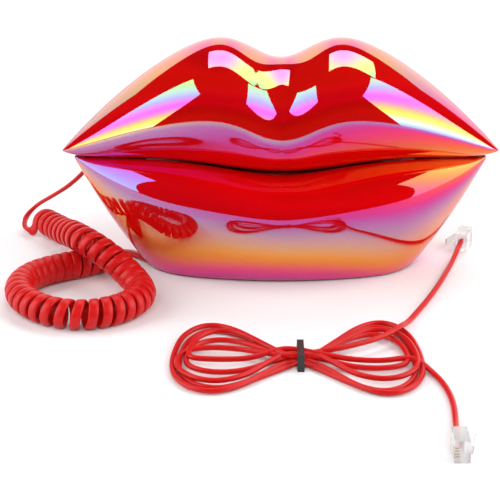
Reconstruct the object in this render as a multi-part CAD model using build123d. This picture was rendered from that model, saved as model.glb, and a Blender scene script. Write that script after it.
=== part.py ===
from build123d import *
from math import cos, exp, log, pi, radians, sin, sqrt, tan
import os

# Novelty telephone in the shape of a pair of closed lips, in millimetres.
# The upper lip is the handset and lifts off; the lower lip is the base and stands on four feet.
# X runs along the mouth, -Y is the front, +Z is up. The origin is on the table, below the
# middle of the telephone's box.

# ---- driving dimensions of the two lips ----
HANDSET_HALF = 108.0
BASE_HALF = 101.5
MID_Y = 4.25
WALL = 2.4
FIT_GAP = 0.3
SEAM_GAP = 1.0

# ---- levels ----
FOOT_HEIGHT = 2.0
FLOOR_GAP = 1.2
COVER_T = 2.5
BASE_COVER_TOP = FLOOR_GAP + COVER_T
DECK_LOW, DECK_TOP = 50.0, 52.5
KEY_COVER_LOW, KEY_COVER_TOP = 61.5, 64.0

# ---- moving pieces ----
KEY_TRAVEL = 1.2
HOOK_TRAVEL = 4.0
RINGER_TRAVEL = 2.5

# ---- keypad ----
KEY_X, KEY_Y = 9.0, 11.0
KEY_PITCH_X, KEY_PITCH_Y = 13.0, 15.0
KEY_FACE = 58.8
KEY_FLANGE_LOW, KEY_FLANGE_TOP = 64.2, 65.4
MEMBRANE_LOW = 67.2
KEY_PIN_TOP = MEMBRANE_LOW - KEY_TRAVEL - 0.1
BOARD_T = 1.6
KEY_ROWS = [["1", "2", "3"], ["4", "5", "6"], ["7", "8", "9"], ["star", "0", "hash"]]
FUNCTION_KEYS = {"redial": (-36.0, MID_Y - 9.0), "flash": (-36.0, MID_Y + 9.0)}

# ---- places of screws, feet and posts, as (x, y) ----
BASE_SCREWS = [(-18.0, -10.0), (30.0, -14.0), (34.0, 19.0), (-38.0, 19.0)]
FEET = {"front_left": (-22.0, -19.5), "front_right": (46.0, -9.0),
        "rear_right": (50.0, 12.0), "rear_left": (-52.0, 12.5)}
BOARD_POSTS = [(-28.0, 8.0), (60.0, 3.0)]
REST_X = 72.0
HOOK_X = 44.0
BUZZER_X = 4.0
HANDSET_SCREWS = [(-50.0, MID_Y), (34.0, MID_Y)]
EARPIECE_X = 70.0
MICROPHONE_X = -64.0
HANDSET_JACK_X, HANDSET_JACK_Z = -80.0, 69.4
CHANNEL = (-70.0, -44.0, -21.5, 3.0)
CHANNEL_TOP = 8.5
TRAY_WALL = 1.5
LINE_JACK_X, LINE_JACK_Z = 10.0, 15.0
RINGER_X, RINGER_Z = -18.0, 15.0

# ---- modular plugs: width, height, length of the clear body ----
LINE_PLUG = (9.65, 6.6, 12.3)
CORD_PLUG = (7.7, 6.6, 11.0)
LATCH_OPEN = 3.4
LATCH_PRESSED = 0.6
CONTACT_PITCH = 1.27
PLUG_WIRES = 4
ON_ITS_SIDE = -90.0
SIDE_Z = LINE_PLUG[0] / 2 + 0.02

# ---- cords ----
COIL_D = 14.0
LEAD_D = 3.0
LINE_D = 2.4
HANDSET_PLUG_TAIL = (HANDSET_JACK_X, 31.0, HANDSET_JACK_Z)
BASE_PLUG_TAIL = (-43.0, -15.0, 5.2)
COIL_ROUTE = [
    (-121, 34, 7.2), (-113, 25, 8.5), (-106, 11, 12.5), (-100, -5, 18), (-94, -20, 22), (-87, -30, 22.3),
    (-78, -35, 18), (-70, -39, 11), (-65.5, -48, 7.3), (-65, -60, 7), (-70, -71, 7), (-79, -80, 7),
    (-91, -84, 7), (-104, -81, 7), (-115, -73, 7), (-123, -61, 7), (-124, -47, 7), (-118, -35, 7),
    (-107, -27, 7), (-96, -22, 7), (-86, -15, 7)]
UPPER_LEAD = [
    HANDSET_PLUG_TAIL, (-80.5, 38, 69), (-84, 43, 64), (-88, 43, 55), (-93, 38, 45), (-99, 32, 36),
    (-108, 34, 27), (-118, 40, 19), (-127, 46, 12), (-133, 43, 6), (-132, 36, 3.2), (-126.5, 32, 3.6),
    (-120, 31, 6)]
LOWER_LEAD = [
    (-86, -15, 7), (-84, -8, 6), (-81, -1, 3.5), (-75.5, 2.5, 2), (-69, 0, 1.6), (-63, -6, 1.6),
    (-57.5, -12, 1.6), (-51, -15.5, 2.6), BASE_PLUG_TAIL]
HANK_MIDDLE = (7.0, -120.0)
TAIL_A = [(51, -92, 3), (57, -80, 1.4), (63, -67, 1.3), (70, -51, 1.3), (76.5, -34, 1.3), (82, -18, 1.4),
          (85.6, -7, 1.5), (88.8, 2.5, 3.2), (91.5, 10, SIDE_Z)]
TAIL_B = [(58, -122, 3), (63, -130, 1.4), (67, -141, 1.3), (69, -154, 1.3), (69, -167, 1.3),
          (68, -178, 1.5), (67.2, -188, 3.2), (67, -196, SIDE_Z)]
PLUG_A_TURN = -20.5
PLUG_B_TURN = 181.0


def box(x0, x1, y0, y1, z0, z1):
    """Solid block between two corners."""
    return Pos((x0 + x1) / 2, (y0 + y1) / 2, (z0 + z1) / 2) * Box(x1 - x0, y1 - y0, z1 - z0)


def rod(x, y, z0, z1, r):
    """Upright cylinder."""
    return Pos(x, y, (z0 + z1) / 2) * Cylinder(r, z1 - z0)


def save(name, shape):
    """Write one sub-part under its node's name."""
    export_step(shape if isinstance(shape, (Compound, Solid)) else Compound([shape]), f"parts/{name}.step")


# ---- the lips' surfaces ----
def seam_height(x):
    """Height of the wavy line between the lips."""
    u = min(abs(x) / HANDSET_HALF, 1.0)
    return 53.7 + 5.0 * sin(pi * u) ** 1.5 + 1.5 * u ** 4


def handset_section(x):
    """Centre height, upper, lower, front and back radii of the upper lip's section, and its seam."""
    u = min(abs(x) / HANDSET_HALF, 1.0)
    tip = sqrt(1 - u ** 2)
    top = 57 + 58 * (1 - u ** 2) ** 1.1 + 4.5 * tip - 17.5 * exp(-(x / 21.4) ** 2)
    seam = seam_height(x)
    middle = seam + (0.45 - 0.08 * exp(-(x / 14) ** 2)) * (top - seam)
    lens = (1 - u ** 2.2) ** 0.9
    front = 42 * lens + 4 * tip - 1.5 * exp(-(x / 16) ** 2)
    return middle, top - middle, (middle - seam) / sin(radians(55)), front, 34 * lens + 4 * tip, seam


def base_section(x):
    """The same radii for the lower lip, whose keel rises towards the corners of the mouth."""
    u = min(abs(x) / BASE_HALF, 1.0)
    tip = sqrt(1 - u ** 16)
    seam = seam_height(x) - SEAM_GAP
    keel = -15 + 8.82 * log(1 + exp((abs(x) - 58.5) / 6))
    middle = seam - 0.26 * (seam - keel)
    lens = (1 - (0.985 * u) ** 2.2) ** 0.85
    front = (44.5 * lens + 2 * tip) * tip
    back = (35 * lens + 2 * tip) * tip
    return middle, (seam - middle) / sin(radians(53)), (middle - keel) * tip, front, back, seam


def lip_wire(x, section, first, last, inset, skirt):
    """One station of a lip: a curve from seam to seam, closed straight or with a straight skirt."""
    middle, up, down, front, back, seam = section(x)
    steps = 12
    points = []
    for k in range(steps + 1):
        angle = radians(first + (last - first) * k / steps)
        depth = (front if cos(angle) > 0 else back) - inset
        height = (up if sin(angle) > 0 else down) - inset
        points.append(Vector(x, MID_Y - depth * cos(angle), middle + height * sin(angle)))
    curve = Edge.make_spline(points)
    if not skirt:
        return Wire([curve, Edge.make_line(points[-1], points[0])])
    start = Vector(x, points[0].Y, seam + skirt)
    end = Vector(x, points[-1].Y, seam + skirt)
    return Wire([Edge.make_line(start, points[0]), curve, Edge.make_line(points[-1], end),
                 Edge.make_line(end, start)])


def lip_solid(section, half, first, last, inset=0.0, skirt=0.0):
    """Smooth solid through the stations of a lip; an inset one is a core or the outline of a cover."""
    reach, widest = (half, 84) if not inset else (half - 6.5, 78)
    count = 13
    angles = [radians(-widest + 2 * widest * k / (count - 1)) for k in range(count)]
    return Solid.make_loft([lip_wire(reach * sin(a), section, first, last, inset, skirt) for a in angles])


def handset_solid(inset=0.0, skirt=0.0):
    return lip_solid(handset_section, HANDSET_HALF, -55, 235, inset, skirt)


def base_solid(inset=0.0, skirt=0.0):
    return lip_solid(base_section, BASE_HALF, 53, -233, inset, skirt)


# ---- base ----
def base_shell(outer, core):
    above_floor = box(-120, 120, -60, 60, FLOOR_GAP, 80)
    shell = (outer & above_floor) - core
    shell -= box(-80, -55, -11, CHANNEL[3], 0, 4.6)
    shell -= line_jack_block(outer)
    shell -= box(RINGER_X - 4.6, RINGER_X + 4.6, 30, 50, RINGER_Z - 1.9, RINGER_Z + 1.9)
    return shell


def base_deck(outline):
    deck = outline & box(-120, 120, -60, 60, DECK_LOW, DECK_TOP)
    for x, y in BASE_SCREWS:
        deck += rod(x, y, BASE_COVER_TOP, DECK_LOW + 1, 4)
    for x, y in BASE_SCREWS:
        deck -= rod(x, y, BASE_COVER_TOP - 1, BASE_COVER_TOP + 13, 1.35)
    return deck - rod(HOOK_X, MID_Y, 40, 60, 4.4)


def handset_rest(x):
    """Block on the deck that carries one end of the handset."""
    rest = box(x - 6, x + 6, MID_Y - 7, MID_Y + 7, DECK_TOP, KEY_COVER_LOW - 0.2)
    return fillet(rest.edges().filter_by(Axis.Z), 2)


def base_bottom_cover(outline):
    cover = outline & box(-120, 120, -60, 60, FLOOR_GAP, BASE_COVER_TOP)
    for x, y in BASE_SCREWS:
        cover -= rod(x, y, 0, BASE_COVER_TOP + 1, 1.7)
        cover -= rod(x, y, 0, FLOOR_GAP + 1.3, 3.3)
    for x, y in FEET.values():
        cover -= rod(x, y, 0, FOOT_HEIGHT, 6.1)
    x0, x1, y0, y1 = CHANNEL
    side = TRAY_WALL + 0.2
    cover -= box(x0 - 10, x1, y0 - side, y1 + side, 0, 10) + box(x0, -27.8, y0 - side, -6.8, 0, 10)
    for x, y in BOARD_POSTS:
        cover += rod(x, y, BASE_COVER_TOP - 1, 22, 2.5)
    return cover


def foot(x, y):
    return fillet(rod(x, y, 0, FOOT_HEIGHT, 6).edges().group_by(Axis.Z)[0], 0.7)


def screws(places, head_low, length):
    """Pan-head screws driven upwards, as one group."""
    pieces = []
    for x, y in places:
        screw = rod(x, y, head_low, head_low + 1.2, 2.9) + rod(x, y, head_low + 1, head_low + length, 1.25)
        slot = box(x - 1.6, x + 1.6, y - 0.35, y + 0.35, head_low - 1, head_low + 0.6)
        pieces.append(screw - slot - Pos(x, y, 0) * Rot(0, 0, 90) * Pos(-x, -y, 0) * slot)
    return Compound(pieces)


def jack_block(x, z, width, height, y0, y1):
    """Body of a modular jack that faces +Y: a block with a stepped socket for a plug and its latch."""
    block = box(x - width / 2 - 1.5, x + width / 2 + 1.5, y0, y1, z - height / 2 - 1.5, z + height / 2 + 2.6)
    return block


def jack_socket(x, z, width, height, y0, y1):
    """The space inside a jack: plug body and the step for its latch above it."""
    body = box(x - width / 2, x + width / 2, y0, y1, z - height / 2, z + height / 2)
    return body + box(x - 2.2, x + 2.2, y0, y1, z + height / 2 - 0.1, z + height / 2 + 1.6)


def line_jack_block(outer):
    return jack_block(LINE_JACK_X, LINE_JACK_Z, 10.1, 7.0, 20, 50) & outer


def line_jack(outer):
    return line_jack_block(outer) - jack_socket(LINE_JACK_X, LINE_JACK_Z, 10.1, 7.0, 24, 50)


def spring_contacts(x, z_low, y0, y1, count):
    """Gold wires along the bottom of a socket, as one group."""
    wires = []
    for k in range(count):
        along = x + (k - (count - 1) / 2) * CONTACT_PITCH
        wires.append(box(along - 0.25, along + 0.25, y0, y1, z_low, z_low + 0.5))
    return Compound(wires)


def handset_jack_block(outer):
    return jack_block(HANDSET_JACK_X, HANDSET_JACK_Z, 8.1, 6.9, 8, 40) & outer


def handset_cord_jack(outer):
    return handset_jack_block(outer) - jack_socket(HANDSET_JACK_X, HANDSET_JACK_Z, 8.1, 6.9, 15, 50)


def base_cord_jack(core_outline):
    """Jack under the base that faces -X, with a roofed channel that the cord runs in."""
    x0, x1, y0, y1 = CHANNEL
    tray = box(x0, x1, y0 - TRAY_WALL, y1 + TRAY_WALL, FLOOR_GAP, CHANNEL_TOP + TRAY_WALL)
    tray = (tray + box(x1 - 1, -28, y0 - TRAY_WALL, -7, FLOOR_GAP, 12.5)) & core_outline
    tray -= box(x0 - 10, x1, y0, y1, 0, CHANNEL_TOP)
    x, y, z = BASE_PLUG_TAIL
    tray -= box(-45, x + 1.8 + CORD_PLUG[2], y - 4.05, y + 4.05, z - 3.45, z + 3.45)
    return tray - box(-45, x + 1.8 + CORD_PLUG[2], y - 2.2, y + 2.2, z + 3.3, z + 5.1)


def contact_places():
    """Where a plug's contacts stand across its width."""
    return [(k - (PLUG_WIRES - 1) / 2) * CONTACT_PITCH for k in range(PLUG_WIRES)]


def plug(size, latch_gap):
    """Clear modular plug, tail at the origin and nose towards +Y: body, contact slots, and a latch on
    top that starts at the nose and stands this far off the body at the tail."""
    width, height, length = size
    top = height / 2
    body = box(-width / 2, width / 2, 0, length, -top, top)
    body = chamfer(body.edges().filter_by(Axis.Y), 0.35)
    body -= box(-2.7, 2.7, -1, 4.5, -1.4, 1.4)
    for x in contact_places():
        body -= box(x - 0.3, x + 0.3, length - 4, length + 1, -top - 1, -top + 2.2)
    tail = 1.5 if latch_gap == LATCH_PRESSED else -1.0
    side = Polyline((length - 1.3, top - 0.3), (length - 1.3, top + 1.1), (length - 2.3, top + 1.3),
                    (tail, top + latch_gap + 0.7), (tail, top + latch_gap), (length - 3.2, top + 0.55),
                    (length - 3.2, top - 0.3), close=True)
    latch = extrude(Plane.YZ * make_face(side), 1.6, both=True)
    return body + latch


def plug_contacts(size):
    """Gold blades that stand in a plug's slots, as one group."""
    low, length = -size[1] / 2, size[2]
    return Compound([box(x - 0.15, x + 0.15, length - 3.6, length - 0.5, low + 0.2, low + 2.0)
                     for x in contact_places()])


def base_weight():
    return chamfer(box(-12, 25, -20, 14, BASE_COVER_TOP, 11.7).edges().group_by(Axis.Z)[-1], 0.8)


def base_circuit_board():
    board = box(-34, 66, -5.5, 14, 22, 22 + BOARD_T)
    for x in (-30, -18, 15, 25):
        board += box(x, x + 8, -4, 1, 22 + BOARD_T - 0.1, 26)
    return board


def hook_switch_body():
    body = box(HOOK_X - 9, HOOK_X + 9, MID_Y - 6, MID_Y + 6, 23.6, 38)
    return chamfer(body.edges().filter_by(Axis.Z), 1) - rod(HOOK_X, MID_Y, 26, 40, 2.4)


def hook_plunger():
    button = fillet(rod(HOOK_X, MID_Y, 43.6, 61.2, 4).edges().group_by(Axis.Z)[-1], 1.2)
    collar = rod(HOOK_X, MID_Y, 43.5, DECK_LOW - HOOK_TRAVEL - 0.5, 6)
    return button + collar + rod(HOOK_X, MID_Y, 30, 44, 2)


def hook_spring():
    coil = Helix(pitch=1.25, height=4.0, radius=3.2)
    wire = sweep(Plane(coil @ 0, z_dir=coil % 0) * Circle(0.4), coil, is_frenet=True)
    return Pos(HOOK_X, MID_Y, 38.6) * wire


def ringer_buzzer():
    case = fillet(rod(BUZZER_X, MID_Y, 23.6, 31, 9.5).edges().group_by(Axis.Z)[-1], 1)
    return case - rod(BUZZER_X, MID_Y, 29, 32, 2)


def ringer_switch_body():
    return box(RINGER_X - 8, RINGER_X + 8, 22, 30, RINGER_Z - 4, RINGER_Z + 4) - \
        box(RINGER_X - 5, RINGER_X + 5, 27, 31, RINGER_Z - 1.9, RINGER_Z + 1.9)


def ringer_switch_knob():
    """Slider that stands at the quiet end of its slot; it slides towards +X."""
    x = RINGER_X - RINGER_TRAVEL / 2
    knob = box(x - 2, x + 2, 27.4, 38.6, RINGER_Z - 1.5, RINGER_Z + 1.5)
    return chamfer(knob.edges().filter_by(Axis.Z).group_by(Axis.Y)[-1], 0.5)


# ---- handset ----
def handset_shell(outer, core):
    shell = outer - core
    for x, y in HANDSET_SCREWS:
        boss = (rod(x, y, KEY_COVER_TOP, 120, 3.5) & outer) - rod(x, y, 60, KEY_COVER_TOP + 12, 1.35)
        shell += boss
    return shell - handset_jack_block(outer)


def key_places():
    """Name and place of every key."""
    places = {}
    for row, names in enumerate(KEY_ROWS):
        for column, name in enumerate(names):
            places["key_" + name] = ((1.5 - row) * KEY_PITCH_X, MID_Y + (column - 1) * KEY_PITCH_Y)
    for name, place in FUNCTION_KEYS.items():
        places["key_" + name] = place
    return places


def handset_cover(outline):
    cover = outline & box(-120, 120, -60, 60, KEY_COVER_LOW, KEY_COVER_TOP)
    reach_x, reach_y = KEY_X / 2 + 0.3, KEY_Y / 2 + 0.3
    for x, y in key_places().values():
        cover -= box(x - reach_x, x + reach_x, y - reach_y, y + reach_y, 60, 66)
    for x, y in HANDSET_SCREWS:
        cover -= rod(x, y, 60, 66, 1.7)
        cover -= rod(x, y, 60, KEY_COVER_LOW + 1.3, 3.3)
    for k in range(6):
        cover -= rod(EARPIECE_X + 6 * cos(k * pi / 3), MID_Y + 6 * sin(k * pi / 3), 60, 66, 1.2)
    for x in (EARPIECE_X, MICROPHONE_X - 2.5, MICROPHONE_X + 2.5):
        cover -= rod(x, MID_Y, 60, 66, 1.2)
    for x in (-40.3, 28.0):
        for y in (MID_Y - 20, MID_Y + 20):
            cover += rod(x, y, KEY_COVER_TOP - 1, MEMBRANE_LOW, 1.6)
    return cover


def key(x, y):
    cap = box(x - KEY_X / 2, x + KEY_X / 2, y - KEY_Y / 2, y + KEY_Y / 2, KEY_FACE, KEY_FLANGE_LOW + 0.1)
    cap = fillet(cap.edges().filter_by(Axis.Z), 1.5)
    cap = fillet(cap.edges().group_by(Axis.Z)[0], 0.6)
    flange = box(x - 5.6, x + 5.6, y - 6.6, y + 6.6, KEY_FLANGE_LOW, KEY_FLANGE_TOP)
    return cap + flange + rod(x, y, KEY_FLANGE_TOP - 0.1, KEY_PIN_TOP, 1.5)


def keypad_sheet(z0, z1):
    return box(-42, 30, MID_Y - 22, MID_Y + 22, z0, z1)


def keypad_membrane():
    sheet = keypad_sheet(MEMBRANE_LOW, MEMBRANE_LOW + 1.2)
    return fillet(sheet.edges().filter_by(Axis.Z), 2)


def keypad_circuit_board():
    z0 = MEMBRANE_LOW + 1.2
    board = keypad_sheet(z0, z0 + BOARD_T)
    for x, y in ((-20, 0), (0, 12), (12, -8)):
        board += box(x - 5, x + 5, y - 3, y + 3, z0 + BOARD_T - 0.1, z0 + BOARD_T + 2)
    return board


def earpiece_gasket():
    return rod(EARPIECE_X, MID_Y, KEY_COVER_TOP, 66, 15) - rod(EARPIECE_X, MID_Y, 60, 70, 12)


def earpiece_speaker():
    rim = rod(EARPIECE_X, MID_Y, 66, 69, 15.5) - rod(EARPIECE_X, MID_Y, 65, 68, 13)
    return rim + rod(EARPIECE_X, MID_Y, 68.9, 73.5, 9)


def microphone():
    capsule = rod(MICROPHONE_X, MID_Y, KEY_COVER_TOP, 69, 4.85)
    return fillet(capsule.edges().group_by(Axis.Z)[-1], 0.5)


def handset_weight():
    return chamfer(box(40, 52, -8, 16, KEY_COVER_TOP, 78).edges().group_by(Axis.Z)[-1], 0.8)


# ---- cords ----
def corner_radii(points):
    """Radius of each corner: as large as its two runs allow."""
    radii = []
    for before, here, after in zip(points, points[1:], points[2:]):
        run_in = Vector(*here) - Vector(*before)
        run_out = Vector(*after) - Vector(*here)
        half_turn = radians(run_in.get_angle(run_out)) / 2
        radii.append(0.45 * min(run_in.length, run_out.length) / tan(half_turn))
    return radii


def cord_tube(name, points, diameter):
    """Round tube along straight runs joined by tangent arcs; prints its length and its corner radii."""
    radii = corner_radii(points)
    path = FilletPolyline(*points, radius=radii)
    tube = sweep(Plane(path @ 0, z_dir=path % 0) * Circle(diameter / 2), path)
    expected = pi * diameter ** 2 / 4 * path.length
    print(f"{name}: length {path.length:.0f} mm, volume ratio {tube.volume / expected:.3f}, "
          f"tightest radius {min(radii):.1f} mm, radii {[round(r) for r in radii]}")
    return tube


def line_cord_hank():
    """Outer shape of the folded line cord: two flat lobes with a tied waist between them."""
    x, y = HANK_MIDDLE
    lobes = Pos(x - 31, y + 3, 3.9) * extrude(Ellipse(26, 35.5), 3.9, both=True)
    lobes += Pos(x + 29, y + 4, 3.9) * extrude(Ellipse(26, 39), 3.9, both=True)
    return lobes + box(x - 14, x + 14, y - 7, y + 7, 0.7, 7.1)


def line_cord_tie():
    x, y = HANK_MIDDLE
    band = box(x - 1.5, x + 1.5, y - 8.2, y + 8.2, 0, 7.9)
    return band - box(x - 2, x + 2, y - 7.1, y + 7.1, 0.6, 7.3)


def at_tail(place, turn, roll=0.0):
    """Where a plug goes: its tail at the place, its nose turned from +Y, rolled about its length."""
    return Pos(*place) * Rot(0, 0, turn) * Rot(0, roll, 0)


os.makedirs("parts", exist_ok=True)

handset_outer = handset_solid()
base_outer = base_solid()
base_outline = base_solid(WALL + FIT_GAP, 6)
handset_outline = handset_solid(WALL + FIT_GAP, -6)

save("base_shell", base_shell(base_outer, base_solid(WALL, 6)))
save("base_deck", base_deck(base_outline))
save("handset_rest_left", handset_rest(-REST_X))
save("handset_rest_right", handset_rest(REST_X))
save("base_bottom_cover", base_bottom_cover(base_outline))
for place, (foot_x, foot_y) in FEET.items():
    save("foot_" + place, foot(foot_x, foot_y))
save("base_screws", screws(BASE_SCREWS, FLOOR_GAP + 0.1, 13))
save("base_weight", base_weight())
save("base_circuit_board", base_circuit_board())
save("hook_switch_body", hook_switch_body())
save("hook_plunger", hook_plunger())
save("hook_spring", hook_spring())
save("ringer_buzzer", ringer_buzzer())
save("ringer_switch_body", ringer_switch_body())
save("ringer_switch_knob", ringer_switch_knob())
save("line_jack", line_jack(base_outer))
save("line_jack_contacts", spring_contacts(LINE_JACK_X, LINE_JACK_Z - 3.5, 24.5, 32, 4))
save("base_cord_jack", base_cord_jack(base_outline))
save("base_cord_plug", at_tail(BASE_PLUG_TAIL, -90) * plug(CORD_PLUG, LATCH_PRESSED))

save("handset_shell", handset_shell(handset_outer, handset_solid(WALL, -6)))
save("handset_cover", handset_cover(handset_outline))
for name, (key_x, key_y) in key_places().items():
    save(name, key(key_x, key_y))
save("keypad_membrane", keypad_membrane())
save("keypad_circuit_board", keypad_circuit_board())
save("earpiece_gasket", earpiece_gasket())
save("earpiece_speaker", earpiece_speaker())
save("microphone", microphone())
save("handset_weight", handset_weight())
save("handset_screws", screws(HANDSET_SCREWS, KEY_COVER_LOW + 0.1, 12))
save("handset_cord_jack", handset_cord_jack(handset_outer))
save("handset_cord_plug", at_tail(HANDSET_PLUG_TAIL, 180) * plug(CORD_PLUG, LATCH_PRESSED))

save("handset_cord_coil", cord_tube("handset_cord_coil", COIL_ROUTE, COIL_D))
save("handset_cord_upper_lead", cord_tube("handset_cord_upper_lead", UPPER_LEAD, LEAD_D))
save("handset_cord_lower_lead", cord_tube("handset_cord_lower_lead", LOWER_LEAD, LEAD_D))
save("line_cord_hank", line_cord_hank())
save("line_cord_tie", line_cord_tie())
save("line_cord_tail_a", cord_tube("line_cord_tail_a", TAIL_A, LINE_D))
save("line_cord_tail_b", cord_tube("line_cord_tail_b", TAIL_B, LINE_D))
for letter, tail, turn in (("a", TAIL_A[-1], PLUG_A_TURN), ("b", TAIL_B[-1], PLUG_B_TURN)):
    place = at_tail(tail, turn, ON_ITS_SIDE)
    save("line_plug_" + letter, place * plug(LINE_PLUG, LATCH_OPEN))
    save(f"line_plug_{letter}_contacts", place * plug_contacts(LINE_PLUG))
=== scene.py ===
import logging
import math
from dataclasses import dataclass, field
from enum import Enum
from typing import Callable, Iterable, Optional, Sequence

import bmesh
import bpy
from mathutils import Matrix, Quaternion, Vector


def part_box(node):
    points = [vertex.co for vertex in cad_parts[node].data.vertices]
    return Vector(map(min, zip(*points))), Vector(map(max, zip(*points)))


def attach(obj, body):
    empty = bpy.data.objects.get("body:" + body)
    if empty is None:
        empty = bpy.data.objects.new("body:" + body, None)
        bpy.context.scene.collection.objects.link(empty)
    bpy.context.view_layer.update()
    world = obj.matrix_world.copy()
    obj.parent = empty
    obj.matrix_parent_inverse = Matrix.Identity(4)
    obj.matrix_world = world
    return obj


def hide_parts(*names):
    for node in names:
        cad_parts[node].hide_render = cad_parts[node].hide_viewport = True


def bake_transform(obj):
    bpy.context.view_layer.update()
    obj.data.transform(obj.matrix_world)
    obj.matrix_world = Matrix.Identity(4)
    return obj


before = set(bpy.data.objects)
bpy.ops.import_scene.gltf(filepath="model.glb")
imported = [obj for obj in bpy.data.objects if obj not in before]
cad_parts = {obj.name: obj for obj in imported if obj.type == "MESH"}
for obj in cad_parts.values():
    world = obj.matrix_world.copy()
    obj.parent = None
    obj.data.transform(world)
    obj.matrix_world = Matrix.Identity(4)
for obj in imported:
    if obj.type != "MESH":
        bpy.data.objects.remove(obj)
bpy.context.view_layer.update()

# A telephone in the shape of a pair of closed lips. The upper lip is the handset, the lower lip is
# the base. Every size is in metres, in the frame of the CAD model.

logging.basicConfig(level=logging.INFO, format="%(name)s: %(message)s")
LOG = logging.getLogger("lips_telephone")
MM = 0.001
Point = tuple[float, float, float]
Colour = tuple[float, float, float]


# --------------------------------------------------------------------------------------------------
# Finishes
# --------------------------------------------------------------------------------------------------
class Pattern(Enum):
    """The small-scale texture that a finish carries."""

    FINE_GRAIN = "fine grain"
    BRUSHED = "brushed"
    MOTTLED = "mottled"


@dataclass(frozen=True)
class Finish:
    """A moulded, metal or rubber finish with its colour drift, gloss and surface texture."""

    name: str
    colour: Colour
    drift: Colour
    roughness: float = 0.35
    roughness_spread: float = 0.08
    metallic: float = 0.0
    grain: float = 900.0
    bump: float = 0.08
    pattern: Pattern = Pattern.FINE_GRAIN
    coat: float = 0.0
    transmission: float = 0.0
    ior: float = 1.46
    film_nm: float = 0.0
    film_ior: float = 1.33
    subsurface: float = 0.0

    def build(self) -> bpy.types.Material:
        """Make the material.

        Returns:
            The node material with this finish's colour, gloss and bump.
        """
        material = bpy.data.materials.new(self.name)
        material.use_nodes = True
        nodes, links = material.node_tree.nodes, material.node_tree.links
        shader = nodes["Principled BSDF"]
        where = nodes.new("ShaderNodeTexCoord")
        place = nodes.new("ShaderNodeMapping")
        stretch = (1.0, 0.06, 1.0) if self.pattern is Pattern.BRUSHED else (1.0, 1.0, 1.0)
        place.inputs["Scale"].default_value = stretch
        links.new(where.outputs["Object"], place.inputs["Vector"])

        broad = nodes.new("ShaderNodeTexNoise")
        broad.inputs["Scale"].default_value = 300.0 if self.pattern is Pattern.MOTTLED else 45.0
        broad.inputs["Detail"].default_value = 3.0
        links.new(where.outputs["Object"], broad.inputs["Vector"])
        tint = nodes.new("ShaderNodeMix")
        tint.data_type = "RGBA"
        tint.inputs["A"].default_value = (*self.colour, 1.0)
        tint.inputs["B"].default_value = (*self.drift, 1.0)
        links.new(broad.outputs["Fac"], tint.inputs["Factor"])
        links.new(tint.outputs["Result"], shader.inputs["Base Color"])

        fine = nodes.new("ShaderNodeTexNoise")
        fine.inputs["Scale"].default_value = self.grain
        fine.inputs["Detail"].default_value = 2.0
        links.new(place.outputs["Vector"], fine.inputs["Vector"])
        gloss = nodes.new("ShaderNodeMapRange")
        gloss.inputs["To Min"].default_value = max(0.0, self.roughness - self.roughness_spread)
        gloss.inputs["To Max"].default_value = self.roughness + self.roughness_spread
        links.new(fine.outputs["Fac"], gloss.inputs["Value"])
        links.new(gloss.outputs["Result"], shader.inputs["Roughness"])
        if self.bump > 0.0:
            relief = nodes.new("ShaderNodeBump")
            relief.inputs["Strength"].default_value = self.bump
            relief.inputs["Distance"].default_value = 0.1 * MM
            links.new(fine.outputs["Fac"], relief.inputs["Height"])
            links.new(relief.outputs["Normal"], shader.inputs["Normal"])

        shader.inputs["Metallic"].default_value = self.metallic
        shader.inputs["IOR"].default_value = self.ior
        shader.inputs["Coat Weight"].default_value = self.coat
        shader.inputs["Coat Roughness"].default_value = 0.03
        shader.inputs["Transmission Weight"].default_value = self.transmission
        shader.inputs["Thin Film Thickness"].default_value = self.film_nm
        shader.inputs["Thin Film IOR"].default_value = self.film_ior
        shader.inputs["Subsurface Weight"].default_value = self.subsurface
        shader.inputs["Subsurface Radius"].default_value = (0.004, 0.001, 0.0007)
        return material


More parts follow.
